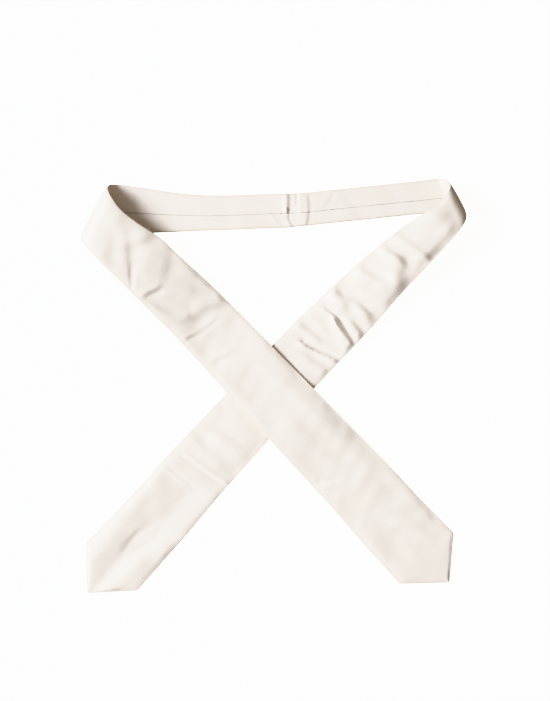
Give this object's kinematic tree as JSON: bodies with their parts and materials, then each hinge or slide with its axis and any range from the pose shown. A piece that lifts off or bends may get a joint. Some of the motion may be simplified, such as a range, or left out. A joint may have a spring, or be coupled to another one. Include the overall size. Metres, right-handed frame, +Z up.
{
  "type": "satin sash",
  "caption": "Long ivory satin sash folded like a necktie, narrow at its middle and widening to pointed ends, laid flat with its arms crossed.",
  "frame": {"origin": "middle of the sash's footprint, on the surface that it lies on", "axes": "+Z up from that surface, +Y from the pointed ends towards the neck band, +X towards the corner of the under half"},
  "size_m": [0.394, 0.4258, 0.028],
  "materials": {
    "satin": "ivory satin with a soft sheen",
    "interlining": "brushed undyed wool, matt",
    "tipping": "ivory lining cloth, slight sheen",
    "thread": "ivory sewing thread"
  },
  "bodies": {
    "root": {"front_shell_neck": "satin", "front_interlining_neck": "interlining", "front_slip_stitch_neck": "thread", "under_shell_neck": "satin", "under_interlining_neck": "interlining", "under_slip_stitch_neck": "thread", "centre_join_stitch": "thread"},
    "front_arm": {"front_shell_arm": "satin", "front_interlining_arm": "interlining", "front_slip_stitch_arm": "thread"},
    "front_end": {"front_shell_end": "satin", "front_interlining_end": "interlining", "front_slip_stitch_end": "thread", "front_tipping": "tipping", "front_bar_tack": "thread", "front_tip_seam": "thread"},
    "under_end": {"under_shell_end": "satin", "under_interlining_end": "interlining", "under_slip_stitch_end": "thread", "under_tipping": "tipping", "under_bar_tack": "thread", "under_tip_seam": "thread"}
  },
  "joints": [
    {"name": "front_arm_lift", "type": "hinge", "parent": "root", "child": "front_arm", "pos_m": [-0.1122, 0.1049, 0.01696], "axis": [-0.7112, -0.699, 0.0744], "range_deg": [0, 75]},
    {"name": "front_end_lift", "type": "hinge", "parent": "front_arm", "child": "front_end", "pos_m": [0.07408, -0.09084, 0.0036], "axis": [-0.7266, -0.6871, 0], "range_deg": [0, 120]},
    {"name": "under_end_lift", "type": "hinge", "parent": "root", "child": "under_end", "pos_m": [-0.05229, -0.0618, 0.0036], "axis": [-0.7361, 0.6769, 0], "range_deg": [0, 120]}
  ]
}
